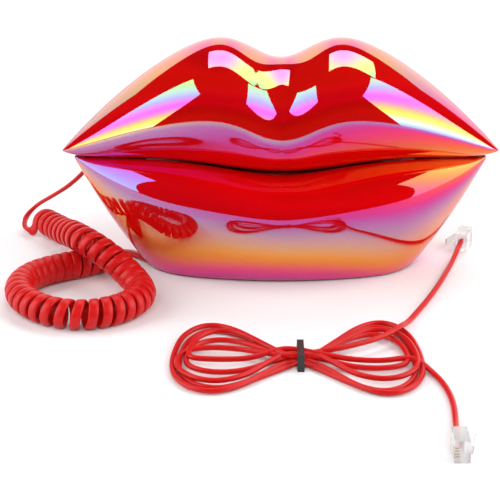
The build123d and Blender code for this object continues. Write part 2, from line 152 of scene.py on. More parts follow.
@dataclass(frozen=True)
class PearlCoat(Finish):
    """Gloss paint under a pearl film, thin at the mouth line and thicker where the lip turns away."""

    away: float = 1.0
    film_nm: float = 125.0
    growth_nm: float = 280.0
    thinning_nm: float = 30.0
    unevenness_nm: float = 4.0
    drift_nm: float = 20.0
    drift_reach: float = 0.1

    def build(self) -> bpy.types.Material:
        """Make the material.

        Returns:
            The gloss paint, with its film's thickness worked out from the way each spot faces: away is
            1 on the upper lip, whose top is thickest, and -1 on the lower lip.
        """
        material = super().build()
        nodes, links = material.node_tree.nodes, material.node_tree.links
        shader = nodes["Principled BSDF"]
        where = nodes.new("ShaderNodeTexCoord")
        split = nodes.new("ShaderNodeSeparateXYZ")
        links.new(where.outputs["Normal"], split.inputs["Vector"])
        tilt = nodes.new("ShaderNodeMath")
        tilt.operation = "ARCSINE"
        links.new(split.outputs["Z"], tilt.inputs[0])
        spot = nodes.new("ShaderNodeSeparateXYZ")
        links.new(where.outputs["Object"], spot.inputs["Vector"])
        cloud = nodes.new("ShaderNodeTexNoise")
        cloud.inputs["Scale"].default_value = 16.0
        cloud.inputs["Detail"].default_value = 1.0
        links.new(where.outputs["Object"], cloud.inputs["Vector"])
        upright = self.away * math.pi / 2.0
        grown = self._graded(nodes, links, tilt.outputs["Value"], (0.0, upright), (0.0, self.growth_nm))
        thinned = self._graded(nodes, links, tilt.outputs["Value"], (0.0, -upright), (0.0, -self.thinning_nm))
        drifted = self._graded(nodes, links, spot.outputs["X"], (-self.drift_reach, self.drift_reach),
                               (self.drift_nm, -self.drift_nm))
        uneven = self._graded(nodes, links, cloud.outputs["Fac"], (0.0, 1.0),
                              (self.film_nm - self.unevenness_nm, self.film_nm + self.unevenness_nm))
        total = self._added(nodes, links, self._added(nodes, links, grown, thinned), uneven)
        total = self._added(nodes, links, total, drifted)
        links.new(total, shader.inputs["Thin Film Thickness"])
        return material

    @staticmethod
    def _graded(nodes: bpy.types.Nodes, links: bpy.types.NodeLinks, value: bpy.types.NodeSocket,
                given: tuple[float, float], wanted: tuple[float, float]) -> bpy.types.NodeSocket:
        """Map a value from one range to another and keep it inside.

        Args:
            nodes: The material's nodes.
            links: The material's links.
            value: The socket that gives the value.
            given: The range that the value comes in.
            wanted: The range that it is mapped to.

        Returns:
            The socket of the mapped value.
        """
        step = nodes.new("ShaderNodeMapRange")
        step.inputs["From Min"].default_value, step.inputs["From Max"].default_value = given
        step.inputs["To Min"].default_value, step.inputs["To Max"].default_value = wanted
        links.new(value, step.inputs["Value"])
        return step.outputs["Result"]

    @staticmethod
    def _added(nodes: bpy.types.Nodes, links: bpy.types.NodeLinks, one: bpy.types.NodeSocket,
               other: bpy.types.NodeSocket) -> bpy.types.NodeSocket:
        """Add two values.

        Args:
            nodes: The material's nodes.
            links: The material's links.
            one: The socket of the first value.
            other: The socket of the second value.

        Returns:
            The socket of the sum.
        """
        step = nodes.new("ShaderNodeMath")
        step.operation = "ADD"
        links.new(one, step.inputs[0])
        links.new(other, step.inputs[1])
        return step.outputs["Value"]


class Finishes:
    """Every finish on the telephone, made once each."""

    UPPER_GLOSS = PearlCoat("lip_gloss_upper", (0.66, 0.001, 0.002), (0.62, 0.001, 0.001), roughness=0.025,
                            roughness_spread=0.008, grain=35.0, bump=0.0, ior=1.5, film_ior=2.4)
    LOWER_GLOSS = PearlCoat("lip_gloss_lower", (0.66, 0.001, 0.002), (0.62, 0.001, 0.001), roughness=0.025,
                            roughness_spread=0.008, grain=35.0, bump=0.0, ior=1.5, film_ior=2.4,
                            away=-1.0, growth_nm=292.0)
    RED_PLASTIC = Finish("moulded_red_plastic", (0.55, 0.006, 0.012), (0.47, 0.004, 0.010), roughness=0.16,
                         roughness_spread=0.05, bump=0.03)
    CORD_RED = Finish("red_cord_jacket", (0.58, 0.004, 0.004), (0.50, 0.003, 0.003), roughness=0.38,
                      roughness_spread=0.06, grain=500.0, bump=0.04, ior=1.36)
    BLACK_PLASTIC = Finish("black_plastic", (0.018, 0.018, 0.020), (0.026, 0.026, 0.028), roughness=0.42)
    BLACK_RUBBER = Finish("black_rubber", (0.015, 0.015, 0.015), (0.030, 0.030, 0.030), roughness=0.75,
                          bump=0.25)
    GREY_RUBBER = Finish("grey_silicone", (0.34, 0.34, 0.35), (0.28, 0.28, 0.29), roughness=0.6, bump=0.1)
    STEEL = Finish("zinc_plated_steel", (0.62, 0.62, 0.64), (0.52, 0.52, 0.55), roughness=0.30,
                   metallic=1.0, pattern=Pattern.BRUSHED)
    ALUMINIUM = Finish("drawn_aluminium", (0.80, 0.80, 0.82), (0.72, 0.72, 0.75), roughness=0.24,
                       metallic=1.0, pattern=Pattern.BRUSHED)
    BOARD = Finish("solder_mask_green", (0.010, 0.14, 0.055), (0.008, 0.10, 0.040), roughness=0.30,
                   pattern=Pattern.MOTTLED)
    GOLD = Finish("gold_plating", (0.95, 0.66, 0.26), (0.85, 0.56, 0.20), roughness=0.18, metallic=1.0)
    CLEAR = Finish("clear_moulding", (0.97, 0.98, 0.98), (0.93, 0.95, 0.95), roughness=0.16,
                   roughness_spread=0.05, bump=0.02, transmission=0.72, ior=1.33)
    KEY_WHITE = Finish("key_plastic", (0.86, 0.84, 0.80), (0.80, 0.78, 0.74), roughness=0.32, coat=0.2)
    KEY_INK = Finish("key_print", (0.035, 0.035, 0.040), (0.055, 0.055, 0.060), roughness=0.5)
    TIE_BLACK = Finish("twist_tie_plastic", (0.012, 0.012, 0.013), (0.030, 0.030, 0.032), roughness=0.38)
    FLOOR = Finish("pale_floor", (0.86, 0.86, 0.87), (0.84, 0.84, 0.85), roughness=0.7, grain=60.0, bump=0.0)

    def __init__(self) -> None:
        """Build the materials and keep them by the finish's name."""
        finishes = [value for value in vars(Finishes).values() if isinstance(value, Finish)]
        self._made = {finish.name: finish.build() for finish in finishes}

    def get(self, finish: Finish) -> bpy.types.Material:
        """Return the material made from a finish."""
        return self._made[finish.name]


# --------------------------------------------------------------------------------------------------
# Helpers for meshes
# --------------------------------------------------------------------------------------------------
def to_object(name: str, bm: bmesh.types.BMesh, material: bpy.types.Material,
              sharp_degrees: float = 35.0) -> bpy.types.Object:
    """Turn a bmesh into a smooth-shaded object at the origin.

    Args:
        name: The piece's name.
        bm: The finished bmesh; it is freed.
        material: The piece's finish.
        sharp_degrees: Edges that turn more than this stay sharp.

    Returns:
        The new object, linked to the scene.
    """
    limit = math.radians(sharp_degrees)
    for face in bm.faces:
        face.smooth = True
    for edge in bm.edges:
        if len(edge.link_faces) == 2 and edge.calc_face_angle(0.0) > limit:
            edge.smooth = False
    mesh = bpy.data.meshes.new(name)
    bm.to_mesh(mesh)
    bm.free()
    mesh.materials.append(material)
    piece = bpy.data.objects.new(name, mesh)
    bpy.context.scene.collection.objects.link(piece)
    return piece


def shaped_grid(columns: int, rows: int, place: Callable[[float, float], Vector],
                merge: float = 1e-6) -> bmesh.types.BMesh:
    """Lay a grid over a surface.

    Args:
        columns: Steps along the surface's length.
        rows: Steps round the surface.
        place: Gives the point for two fractions from 0 to 1, along and round.
        merge: Points nearer than this become one, which closes seams and poles.

    Returns:
        A bmesh of the surface with its faces pointing outwards.
    """
    bm = bmesh.new()
    bmesh.ops.create_grid(bm, x_segments=columns, y_segments=rows, size=1.0)
    for vertex in bm.verts:
        vertex.co = place((vertex.co.x + 1.0) / 2.0, (vertex.co.y + 1.0) / 2.0)
    bmesh.ops.remove_doubles(bm, verts=bm.verts, dist=merge)
    bmesh.ops.dissolve_degenerate(bm, dist=1e-7, edges=bm.edges)
    bmesh.ops.recalc_face_normals(bm, faces=bm.faces)
    return bm


def block(low: Point, high: Point) -> bmesh.types.BMesh:
    """Box between two corners.

    Args:
        low: Lowest corner, in metres.
        high: Highest corner, in metres.

    Returns:
        A bmesh of the box.
    """
    bm = bmesh.new()
    middle = (Vector(low) + Vector(high)) / 2.0
    size = Vector(high) - Vector(low)
    bmesh.ops.create_cube(bm, size=1.0, matrix=Matrix.Translation(middle) @ Matrix.Diagonal((*size, 1.0)))
    return bm


def rounded(bm: bmesh.types.BMesh, radius: float, segments: int = 3) -> bmesh.types.BMesh:
    """Round every edge of a bmesh that turns sharply.

    Args:
        bm: The bmesh to change.
        radius: Width of the bevel, in metres.
        segments: Steps round it.

    Returns:
        The same bmesh.
    """
    edges = [e for e in bm.edges if len(e.link_faces) == 2 and e.calc_face_angle(0.0) > math.radians(30)]
    bmesh.ops.bevel(bm, geom=edges, offset=radius, segments=segments, profile=0.5, affect="EDGES",
                    material=-1)
    return bm


def carve(piece: bpy.types.Object, cutters: Iterable[bmesh.types.BMesh]) -> None:
    """Cut shapes out of a piece.

    Args:
        piece: The piece to cut; its mesh is replaced.
        cutters: Closed bmeshes; they are freed.
    """
    for bm in cutters:
        mesh = bpy.data.meshes.new("cutter")
        bm.to_mesh(mesh)
        bm.free()
        cutter = bpy.data.objects.new("cutter", mesh)
        bpy.context.scene.collection.objects.link(cutter)
        cut = piece.modifiers.new("cut", "BOOLEAN")
        cut.operation = "DIFFERENCE"
        cut.solver = "EXACT"
        cut.object = cutter
        bpy.context.view_layer.update()
        evaluated = piece.evaluated_get(bpy.context.evaluated_depsgraph_get())
        shaped = bpy.data.meshes.new_from_object(evaluated)
        piece.modifiers.clear()
        piece.data = shaped
        bpy.data.objects.remove(cutter)


def read_route(points: Sequence[Point], resolution: int = 24) -> list[Vector]:
    """Follow the smooth spline that has these control points.

    Args:
        points: Control points in metres.
        resolution: Steps along each span.

    Returns:
        Points along the spline, in order.
    """
    curve = bpy.data.curves.new("route", "CURVE")
    curve.dimensions = "3D"
    spline = curve.splines.new("NURBS")
    spline.points.add(len(points) - 1)
    for control, point in zip(spline.points, points):
        control.co = (*point, 1.0)
    spline.order_u = 3
    spline.use_endpoint_u = True
    spline.resolution_u = resolution
    curve.resolution_u = resolution
    holder = bpy.data.objects.new("route", curve)
    bpy.context.scene.collection.objects.link(holder)
    bpy.context.view_layer.update()
    mesh = bpy.data.meshes.new_from_object(holder)
    line = [vertex.co.copy() for vertex in mesh.vertices]
    bpy.data.objects.remove(holder)
    bpy.data.curves.remove(curve)
    bpy.data.meshes.remove(mesh)
    return line


def line_length(line: Sequence[Vector]) -> float:
    """Return the length of a line of points."""
    return sum((b - a).length for a, b in zip(line, line[1:]))


def evenly(line: Sequence[Vector], count: int) -> list[Vector]:
    """Spread points evenly along a line.

    Args:
        line: The line's points.
        count: How many points to return, ends included.

    Returns:
        The evenly spaced points.
    """
    marks = [0.0]
    for a, b in zip(line, line[1:]):
        marks.append(marks[-1] + (b - a).length)
    spread, span = [], 0
    for k in range(count):
        goal = marks[-1] * k / (count - 1)
        while span < len(marks) - 2 and marks[span + 1] < goal:
            span += 1
        step = marks[span + 1] - marks[span]
        part = (goal - marks[span]) / step if step > 0.0 else 0.0
        spread.append(line[span].lerp(line[span + 1], part))
    return spread


def carried_frames(line: Sequence[Vector], first: Vector) -> list[tuple[Vector, Vector, Vector]]:
    """Carry a side direction along a line without twist.

    Args:
        line: The line's points.
        first: The side direction wanted at the first point.

    Returns:
        One (tangent, side, other side) for each point.
    """
    frames = []
    side = first
    before: Optional[Vector] = None
    for k, _ in enumerate(line):
        ahead = line[min(k + 1, len(line) - 1)] - line[max(k - 1, 0)]
        tangent = ahead.normalized()
        if before is not None:
            side = before.rotation_difference(tangent) @ side
        side = (side - tangent * side.dot(tangent)).normalized()
        frames.append((tangent, side, tangent.cross(side)))
        before = tangent
    return frames


# --------------------------------------------------------------------------------------------------
# The two lips
# --------------------------------------------------------------------------------------------------
@dataclass(frozen=True)
class Section:
    """One upright section of a lip: centre height and four radii."""

    middle: float
    up: float
    down: float
    front: float
    back: float


@dataclass
class LipShell:
    """A hollow lip: a smooth skin, a rounded rim along the mouth line and an inner wall."""

    name: str
    node: str
    body: str
    half: float
    first_degrees: float
    last_degrees: float
    middle_y: float = 4.25
    wall: float = 2.4
    columns: int = 240
    rows: int = 200
    rim_share: float = 0.03

    def seam(self, x: float) -> float:
        """Return the height of the wavy mouth line at x, in millimetres."""
        u = min(abs(x) / 108.0, 1.0)
        return 53.7 + 5.0 * math.sin(math.pi * u) ** 1.5 + 1.5 * u ** 4

    def section(self, x: float) -> Section:
        """Return the lip's section at x, in millimetres."""
        raise NotImplementedError

    def skin(self, x: float, cut: Section, degrees: float, inset: float) -> Vector:
        """Point on the skin, or on the inner wall.

        Args:
            x: Place along the mouth.
            cut: The section there.
            degrees: Angle round the section, 0 at the front.
            inset: How far inside the skin.

        Returns:
            The point in millimetres.
        """
        angle = math.radians(degrees)
        c, s = math.cos(angle), math.sin(angle)
        depth = (cut.front if c > 0.0 else cut.back) - inset
        height = (cut.up if s > 0.0 else cut.down) - inset
        return Vector((x, self.middle_y - depth * c, cut.middle + height * s))

    def place(self, along: float, around: float) -> Vector:
        """Find a point of the closed wall.

        Args:
            along: Fraction along the mouth.
            around: Fraction round the wall's section: skin, rim, inner wall, rim.

        Returns:
            The point in metres.
        """
        x = self.half * math.sin(math.radians(-90.0 + 180.0 * along))
        cut = self.section(x)
        inset = min(self.wall, 0.4 * min(cut.up, cut.down, cut.front, cut.back))
        rim = self.rim_share
        span = 0.5 - rim
        if around <= span:
            return MM * self.skin(x, cut, self._angle(around / span), 0.0)
        if around < 0.5:
            return MM * self._rim(x, cut, self.last_degrees, (around - span) / rim, inset, False)
        if around <= 0.5 + span:
            return MM * self.skin(x, cut, self._angle(1.0 - (around - 0.5) / span), inset)
        return MM * self._rim(x, cut, self.first_degrees, (around - 0.5 - span) / rim, inset, True)

    def _angle(self, share: float) -> float:
        """Return the angle at a share of the arc."""
        return self.first_degrees + (self.last_degrees - self.first_degrees) * share

    def _rim(self, x: float, cut: Section, degrees: float, turn: float, inset: float, rising: bool) -> Vector:
        """Find a point on the half-round rim between the skin and the inner wall.

        Args:
            x: Place along the mouth.
            cut: The section there.
            degrees: The end of the arc that this rim closes.
            turn: Fraction of the way round the rim.
            inset: The wall's thickness there.
            rising: True for the rim that leads from the inner wall back to the skin.

        Returns:
            The point in millimetres.
        """
        outer = self.skin(x, cut, degrees, 0.0)
        inner = self.skin(x, cut, degrees, inset)
        step = 0.5 if self.last_degrees > self.first_degrees else -0.5
        step = -step if rising else step
        forward = (self.skin(x, cut, degrees + step, 0.0) - self.skin(x, cut, degrees, 0.0)).normalized()
        start, end = (inner, outer) if rising else (outer, inner)
        centre, arm = (start + end) / 2.0, (start - end) / 2.0
        swing = math.pi * turn
        return centre + arm * math.cos(swing) + forward * arm.length * math.sin(swing)

    def build(self, material: bpy.types.Material) -> bpy.types.Object:
        """Make the shell, cut its openings and set it in the CAD node's place.

        Args:
            material: The shell's finish.

        Returns:
            The finished piece.
        """
        bm = shaped_grid(self.columns, self.rows, self.place, merge=2e-6)
        self.trim(bm)
        piece = to_object(self.name, bm, material)
        carve(piece, self.openings())
        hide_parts(self.node)
        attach(piece, self.body)
        LOG.info("%s: %d faces", self.name, len(piece.data.polygons))
        return piece

    def trim(self, bm: bmesh.types.BMesh) -> None:
        """Trim the shell before it becomes an object; a plain lip needs none."""

    def openings(self) -> list[bmesh.types.BMesh]:
        """Return the cutters for the shell's openings."""
        return []


class HandsetShell(LipShell):
    """The upper lip, with its two lobes and the dip between them."""

    def section(self, x: float) -> Section:
        """Work out the upper lip's section.

        Args:
            x: Place along the mouth, in millimetres.

        Returns:
            The section in millimetres.
        """
        u = min(abs(x) / self.half, 1.0)
        tip = math.sqrt(1.0 - u ** 2)
        top = 57.0 + 58.0 * (1.0 - u ** 2) ** 1.1 + 4.5 * tip - 17.5 * math.exp(-(x / 21.4) ** 2)
        seam = self.seam(x)
        middle = seam + (0.45 - 0.08 * math.exp(-(x / 14.0) ** 2)) * (top - seam)
        lens = (1.0 - u ** 2.2) ** 0.9
        nose = math.sqrt(max(0.0, 1.0 - u ** 40))
        groove = 3.5 * math.exp(-(math.sqrt(x * x + 4.0) - 2.0) / 9.0)
        front = 42.0 * lens + 4.0 * tip - 1.0 * math.exp(-(x / 16.0) ** 2) - groove
        down = (middle - seam) / math.sin(math.radians(55.0))
        return Section(middle, (top - middle) * nose, down * nose, front, 34.0 * lens + 4.0 * tip)

    def openings(self) -> list[bmesh.types.BMesh]:
        """Return the cutter for the cord jack's mouth in the back."""
        low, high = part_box("handset_cord_jack")
        return [block((low[0], low[1], low[2]), (high[0], high[1] + 8 * MM, high[2]))]


class BaseShell(LipShell):
    """The lower lip, whose keel rises towards the corners of the mouth and is flat underneath."""

    floor_gap: float = 1.2 * MM
    slot_half: tuple[float, float] = (4.6 * MM, 1.9 * MM)
    knob_travel: float = 2.5 * MM

    def section(self, x: float) -> Section:
        """Work out the lower lip's section.

        Args:
            x: Place along the mouth, in millimetres.

        Returns:
            The section in millimetres.
        """
        u = min(abs(x) / self.half, 1.0)
        tip = math.sqrt(1.0 - u ** 16)
        seam = self.seam(x) - 0.5 - 0.5 * math.exp(-(x / 70.0) ** 2)
        keel = -15.0 + 8.82 * math.log(1.0 + math.exp((abs(x) - 58.5) / 6.0))
        middle = seam - 0.26 * (seam - keel)
        lens = (1.0 - (0.985 * u) ** 2.2) ** 0.85
        front = (44.5 * lens + 2.0 * tip) * tip
        back = (35.0 * lens + 2.0 * tip) * tip
        up = (seam - middle) / math.sin(math.radians(53.0))
        return Section(middle, up * tip, (middle - keel) * tip, front, back)

    def trim(self, bm: bmesh.types.BMesh) -> None:
        """Cut the keel off flat just above the table and close the cut wall.

        Args:
            bm: The lip's bmesh, which is changed.
        """
        everything = [*bm.verts, *bm.edges, *bm.faces]
        bmesh.ops.bisect_plane(bm, geom=everything, plane_co=(0.0, 0.0, self.floor_gap),
                               plane_no=(0.0, 0.0, 1.0), clear_inner=True, dist=1e-7)
        edges = [edge for edge in bm.edges if len(edge.link_faces) == 1]
        bmesh.ops.bridge_loops(bm, edges=edges)
        bmesh.ops.recalc_face_normals(bm, faces=bm.faces)

    def openings(self) -> list[bmesh.types.BMesh]:
        """Make the cutters for the line jack, the ringer switch and the cord's notch.

        Returns:
            One block for each opening.
        """
        low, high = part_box("line_jack")
        knob_low, knob_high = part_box("ringer_switch_knob")
        middle = (knob_low[0] + knob_high[0] + self.knob_travel) / 2.0
        height = (knob_low[2] + knob_high[2]) / 2.0
        wide, tall = self.slot_half
        slot = block((middle - wide, 30 * MM, height - tall), (middle + wide, 50 * MM, height + tall))
        notch = block((-80 * MM, -11 * MM, -2 * MM), (-55 * MM, 3 * MM, 4.6 * MM))
        return [block((low[0], low[1], low[2]), (high[0], high[1] + 8 * MM, high[2])), slot, notch]


# --------------------------------------------------------------------------------------------------
# The curly cord
# --------------------------------------------------------------------------------------------------
@dataclass
class CurlyCord:
    """The handset's cord: a flat lead at each end and a long coil of flat cord between them."""

    width: float = 4.7 * MM
    thickness: float = 2.1 * MM
    coil_radius: float = 5.95 * MM
    turns: int = 44
    steps_per_turn: int = 28
    section_steps: int = 12
    hand: float = -1.0
    loose_stretches: tuple[tuple[float, float, float], ...] = (
        (0.14, 0.13, 1.15), (0.62, 0.07, 0.35), (1.0, 0.03, 0.25))
    seen_from: Point = (0.0, 0.93, -0.37)
    edge_on_shares: tuple[float, ...] = (0.08, 0.14, 0.22, 0.45, 0.65, 0.88)
    coil_route: tuple[Point, ...] = (
        (-121, 34, 7.2), (-114, 23, 8.5), (-108, 6, 12.5), (-102, -11, 18), (-96.5, -26, 21.5),
        (-89, -36, 21.5), (-80, -41.5, 17), (-72, -46, 11), (-66.5, -53, 7.3), (-65.5, -62, 7),
        (-70, -72, 7), (-79, -80, 7),
        (-91, -84, 7), (-104, -81, 7), (-115, -73, 7), (-123, -61, 7), (-124, -47, 7), (-118, -35, 7),
        (-107, -27, 7), (-96, -22, 7), (-86, -15, 7))
    upper_lead: tuple[Point, ...] = (
        (-80, 31, 69.4), (-80.5, 38, 69), (-84, 43, 64), (-88, 43, 55), (-93, 38, 45), (-99, 32, 36),
        (-108, 34, 27), (-118, 40, 19), (-127, 46, 12), (-133, 43, 6), (-132.5, 36, 3.2), (-128.5, 31, 2.4))
    lower_lead: tuple[Point, ...] = (
        (-88.5, -3, 3.0), (-84, 4, 1.7), (-77, 6.5, 1.6), (-70, 1, 1.6), (-63, -6.5, 1.6), (-57.5, -12, 1.6),
        (-51, -15.5, 2.6), (-43, -15, 5.2))
    enters_at: Point = (-0.75, -0.66, 0.0)
    leaves_at: Point = (-0.50, 0.75, 0.25)

    def helix(self) -> tuple[list[Vector], list[Vector]]:
        """Wind the coil.

        Returns:
            The points of the cord's middle line in the coil, and the direction away from the coil's
            own middle line at each.
        """
        count = self.turns * self.steps_per_turn + 1
        route = evenly(read_route([tuple(MM * c for c in p) for p in self.coil_route]), count)
        frames = carried_frames(route, Vector((0.0, 0.0, 1.0)))
        looseness = [1.0 + sum(extra * math.exp(-((k / count - where) / reach) ** 2)
                               for where, reach, extra in self.loose_stretches) for k in range(count)]
        whole = sum(1.0 / loose for loose in looseness)
        ways = (Vector(self.enters_at), frames[0]), (Vector(self.leaves_at), frames[-1])
        angle, last_angle = (math.atan2(way.dot(other), way.dot(side)) for way, (_, side, other) in ways)
        spin = self.hand * 2.0 * math.pi * self.turns
        spin += math.remainder(last_angle - angle - spin, 2.0 * math.pi)
        points, outward = [], []
        for centre, (_, side, other), loose in zip(route, frames, looseness):
            away = side * math.cos(angle) + other * math.sin(angle)
            points.append(centre + away * self.coil_radius)
            outward.append(away)
            angle += spin / (loose * whole)
        return points, outward

    def line(self) -> tuple[list[Vector], list[Vector]]:
        """Join the leads to the coil.

        Returns:
            The whole middle line from the handset's plug to the base's plug, and the cord's flat
            normal at each point.
        """
        coil, outward = self.helix()
        start, end = coil[0], coil[-1]
        into = (coil[1] - coil[0]).normalized()
        out = (coil[-1] - coil[-2]).normalized()
        upper = [tuple(MM * c for c in p) for p in self.upper_lead]
        upper += [tuple(start - into * 2.5 * MM), tuple(start)]
        lower = [tuple(end), tuple(end + out * 4 * MM)]
        lower += [tuple(MM * c for c in p) for p in self.lower_lead]
        upper_line = evenly(read_route(upper), 140)
        lower_line = evenly(read_route(lower), 90)
        flat_on_plug = Vector((0.0, 0.0, 1.0))
        upper_frames = carried_frames(upper_line[::-1], outward[0])
        last, view = len(upper_frames) - 1, Vector(self.seen_from)
        stops = [(share, upper_frames[round(share * last)][0].cross(view)) for share in self.edge_on_shares]
        upper_flat = self._turned(upper_frames, [*stops, (1.0, flat_on_plug)])[::-1]
        lower_frames = carried_frames(lower_line, outward[-1])
        lower_flat = self._turned(lower_frames, [(0.35, flat_on_plug), (1.0, flat_on_plug)])
        points = upper_line[:-1] + coil + lower_line[1:]
        flats = upper_flat[:-1] + outward + lower_flat[1:]
        return points, flats

    @staticmethod
    def _turned(frames: list[tuple[Vector, Vector, Vector]],
                stops: Sequence[tuple[float, Vector]]) -> list[Vector]:
        """Turn the flat side slowly along a lead, through the wanted directions.

        Args:
            frames: The lead's carried frames, starting at the coil.
            stops: Shares of the lead, each with the flat side's direction there, ending with the plug.

        Returns:
            The flat normal at each point.
        """
        last = len(frames) - 1
        shares, twists = [0.0], [0.0]
        for share, wanted in stops:
            _, side, other = frames[round(share * last)]
            twist = math.atan2(wanted.dot(other), wanted.dot(side))
            twists.append(twists[-1] + math.remainder(twist - twists[-1], math.pi))
            shares.append(share)
        turned = []
        for k, (tangent, side, _) in enumerate(frames):
            step = max(i for i in range(len(stops)) if shares[i] <= k / last)
            part = (k / last - shares[step]) / (shares[step + 1] - shares[step])
            twist = twists[step] + (twists[step + 1] - twists[step]) * part * part * (3.0 - 2.0 * part)
            turned.append(Quaternion(tangent, twist) @ side)
        return turned

    def build(self, material: bpy.types.Material) -> bpy.types.Object:
        """Make the cord.

        Args:
            material: The cord's jacket.

        Returns:
            The finished piece.
        """
        points, flats = self.line()
        last = len(points) - 1
        tangents = [(points[min(k + 1, last)] - points[max(k - 1, 0)]).normalized() for k in range(last + 1)]

        def place(along: float, around: float) -> Vector:
            """Find a point on the jacket.

            Args:
                along: Fraction along the cord.
                around: Fraction round its section.

            Returns:
                The point in metres.
            """
            k = round(along * last)
            flat = (flats[k] - tangents[k] * flats[k].dot(tangents[k])).normalized()
            edge = tangents[k].cross(flat)
            c, s = math.cos(2.0 * math.pi * around), math.sin(2.0 * math.pi * around)
            wide = math.copysign(abs(c) ** 0.55, c) * self.width / 2.0
            thick = math.copysign(abs(s) ** 0.7, s) * self.thickness / 2.0
            return points[k] + edge * wide + flat * thick

        bm = shaped_grid(last, self.section_steps, place)
        bmesh.ops.holes_fill(bm, edges=[e for e in bm.edges if len(e.link_faces) == 1], sides=0)
        piece = to_object("curly_cord", bm, material, sharp_degrees=60.0)
        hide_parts("handset_cord_coil", "handset_cord_upper_lead", "handset_cord_lower_lead")
        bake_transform(piece)
        length = line_length(points)
        tuple(points[0])
        [tuple(p) for p in points]
        LOG.info("curly cord: %.2f m in %d turns", length, self.turns)
        return piece


# --------------------------------------------------------------------------------------------------
# The line cord
# --------------------------------------------------------------------------------------------------
@dataclass(frozen=True)
class Loop:
    """One loop of the folded line cord, as far as it reaches and fans out at each end, in millimetres."""

    left: float
    left_up: float
    left_down: float
    right: float
    right_up: float
    right_down: float
    level: float


@dataclass
class LineCord:
    """The loose line cord: two tails and five long loops tied round the middle."""

    diameter: float = 2.5 * MM
    middle: Point = (7.0, -120.0, 0.0)
    loops: tuple[Loop, ...] = (
        Loop(53, 33, 27, 50, 37, 30, 1.4),
        Loop(56, 38, 31, 53, 41, 33, 2.4),
        Loop(50, 20, 14, 47, 26, 10, 3.4),
        Loop(54, 10, 24, 51, 30, 22, 4.4),
        Loop(49, 27, 4, 52, 34, 15, 5.4))
    tail_a: tuple[Point, ...] = (
        (57, -80, 1.4), (63, -67, 1.3), (70, -51, 1.3), (76.5, -34, 1.3), (82, -18, 1.4),
        (85.6, -7, 1.5), (88.8, 2.5, 3.2), (91.5, 10, 4.85), (92.9, 13.7, 4.85))
    tail_b: tuple[Point, ...] = (
        (58, -122, 3), (63, -130, 1.4), (67, -141, 1.3), (69, -154, 1.3), (69, -167, 1.3),
        (68, -178, 1.5), (67.2, -188, 3.2), (67, -196, 4.85), (67.1, -200, 4.85))

    def lobe(self, side: float, reach: float, up: float, down: float, level: float,
             enter: float, leave: float) -> list[Point]:
        """Control points of half a loop, out along the upper side and back along the lower.

        Args:
            side: -1 for the left half, 1 for the right.
            reach: How far the half reaches from the tie.
            up: How far it fans out away from the front.
            down: How far it fans out towards the front.
            level: Its height on the table.
            enter: Where it leaves the tie, across the waist.
            leave: Where it comes back to the tie.

        Returns:
            The control points.
        """
        x0, y0, _ = self.middle
        low = max(1.3, level * 0.75)
        shape = [(0.10, enter, level), (0.30, enter + 0.38 * (up - enter), level), (0.52, 0.86 * up, low),
                 (0.74, up, low), (0.93, 0.72 * up, low), (1.0, 0.25 * up - 0.15 * down, low),
                 (0.99, -0.45 * down, low), (0.86, -0.86 * down, low), (0.66, -down, low),
                 (0.44, -0.76 * down, low), (0.24, leave + 0.30 * (-down - leave), level),
                 (0.09, leave, level)]
        return [(x0 + side * reach * u, y0 + v, z) for u, v, z in shape]

    def route(self) -> list[Point]:
        """Lay the whole cord from one plug to the other.

        Returns:
            Its control points in millimetres.
        """
        points = list(self.tail_a[::-1])
        points += [(52.5, -92, 5.2), (45, -104, 5.8), (30, -113, 5.4), (17, -118, 5.2)]
        lanes = (-4.8, -2.4, 0.0, 2.4, 4.8)
        for k, loop in enumerate(self.loops):
            lane = lanes[k]
            points += self.lobe(-1.0, loop.left, loop.left_up, loop.left_down, loop.level, -lane, lane)
            if k < len(self.loops) - 1:
                points += self.lobe(1.0, loop.right, loop.right_up, loop.right_down, loop.level, -lane, lane)
        points += [(17, -121, 5.0), (30, -124, 3.8), (43, -124, 3.4), (52, -121, 3.4)]
        return points + list(self.tail_b)

    def build(self, material: bpy.types.Material) -> bpy.types.Object:
        """Make the cord.

        Args:
            material: The cord's jacket.

        Returns:
            The finished piece.
        """
        curve = bpy.data.curves.new("line_cord", "CURVE")
        curve.dimensions = "3D"
        route = self.route()
        spline = curve.splines.new("NURBS")
        spline.points.add(len(route) - 1)
        for control, point in zip(spline.points, route):
            control.co = (*(MM * c for c in point), 1.0)
        spline.order_u = 3
        spline.use_endpoint_u = True
        spline.resolution_u = 10
        curve.resolution_u = 10
        curve.bevel_depth = self.diameter / 2.0
        curve.bevel_resolution = 4
        curve.use_fill_caps = True
        curve.materials.append(material)
        piece = bpy.data.objects.new("line_cord", curve)
        bpy.context.scene.collection.objects.link(piece)
        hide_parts("line_cord_hank", "line_cord_tail_a", "line_cord_tail_b")
        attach(piece, "base")
        length = line_length(read_route([tuple(MM * c for c in p) for p in route]))
        tuple(MM * c for c in route[0])
        LOG.info("line cord: %.2f m", length)
        return piece


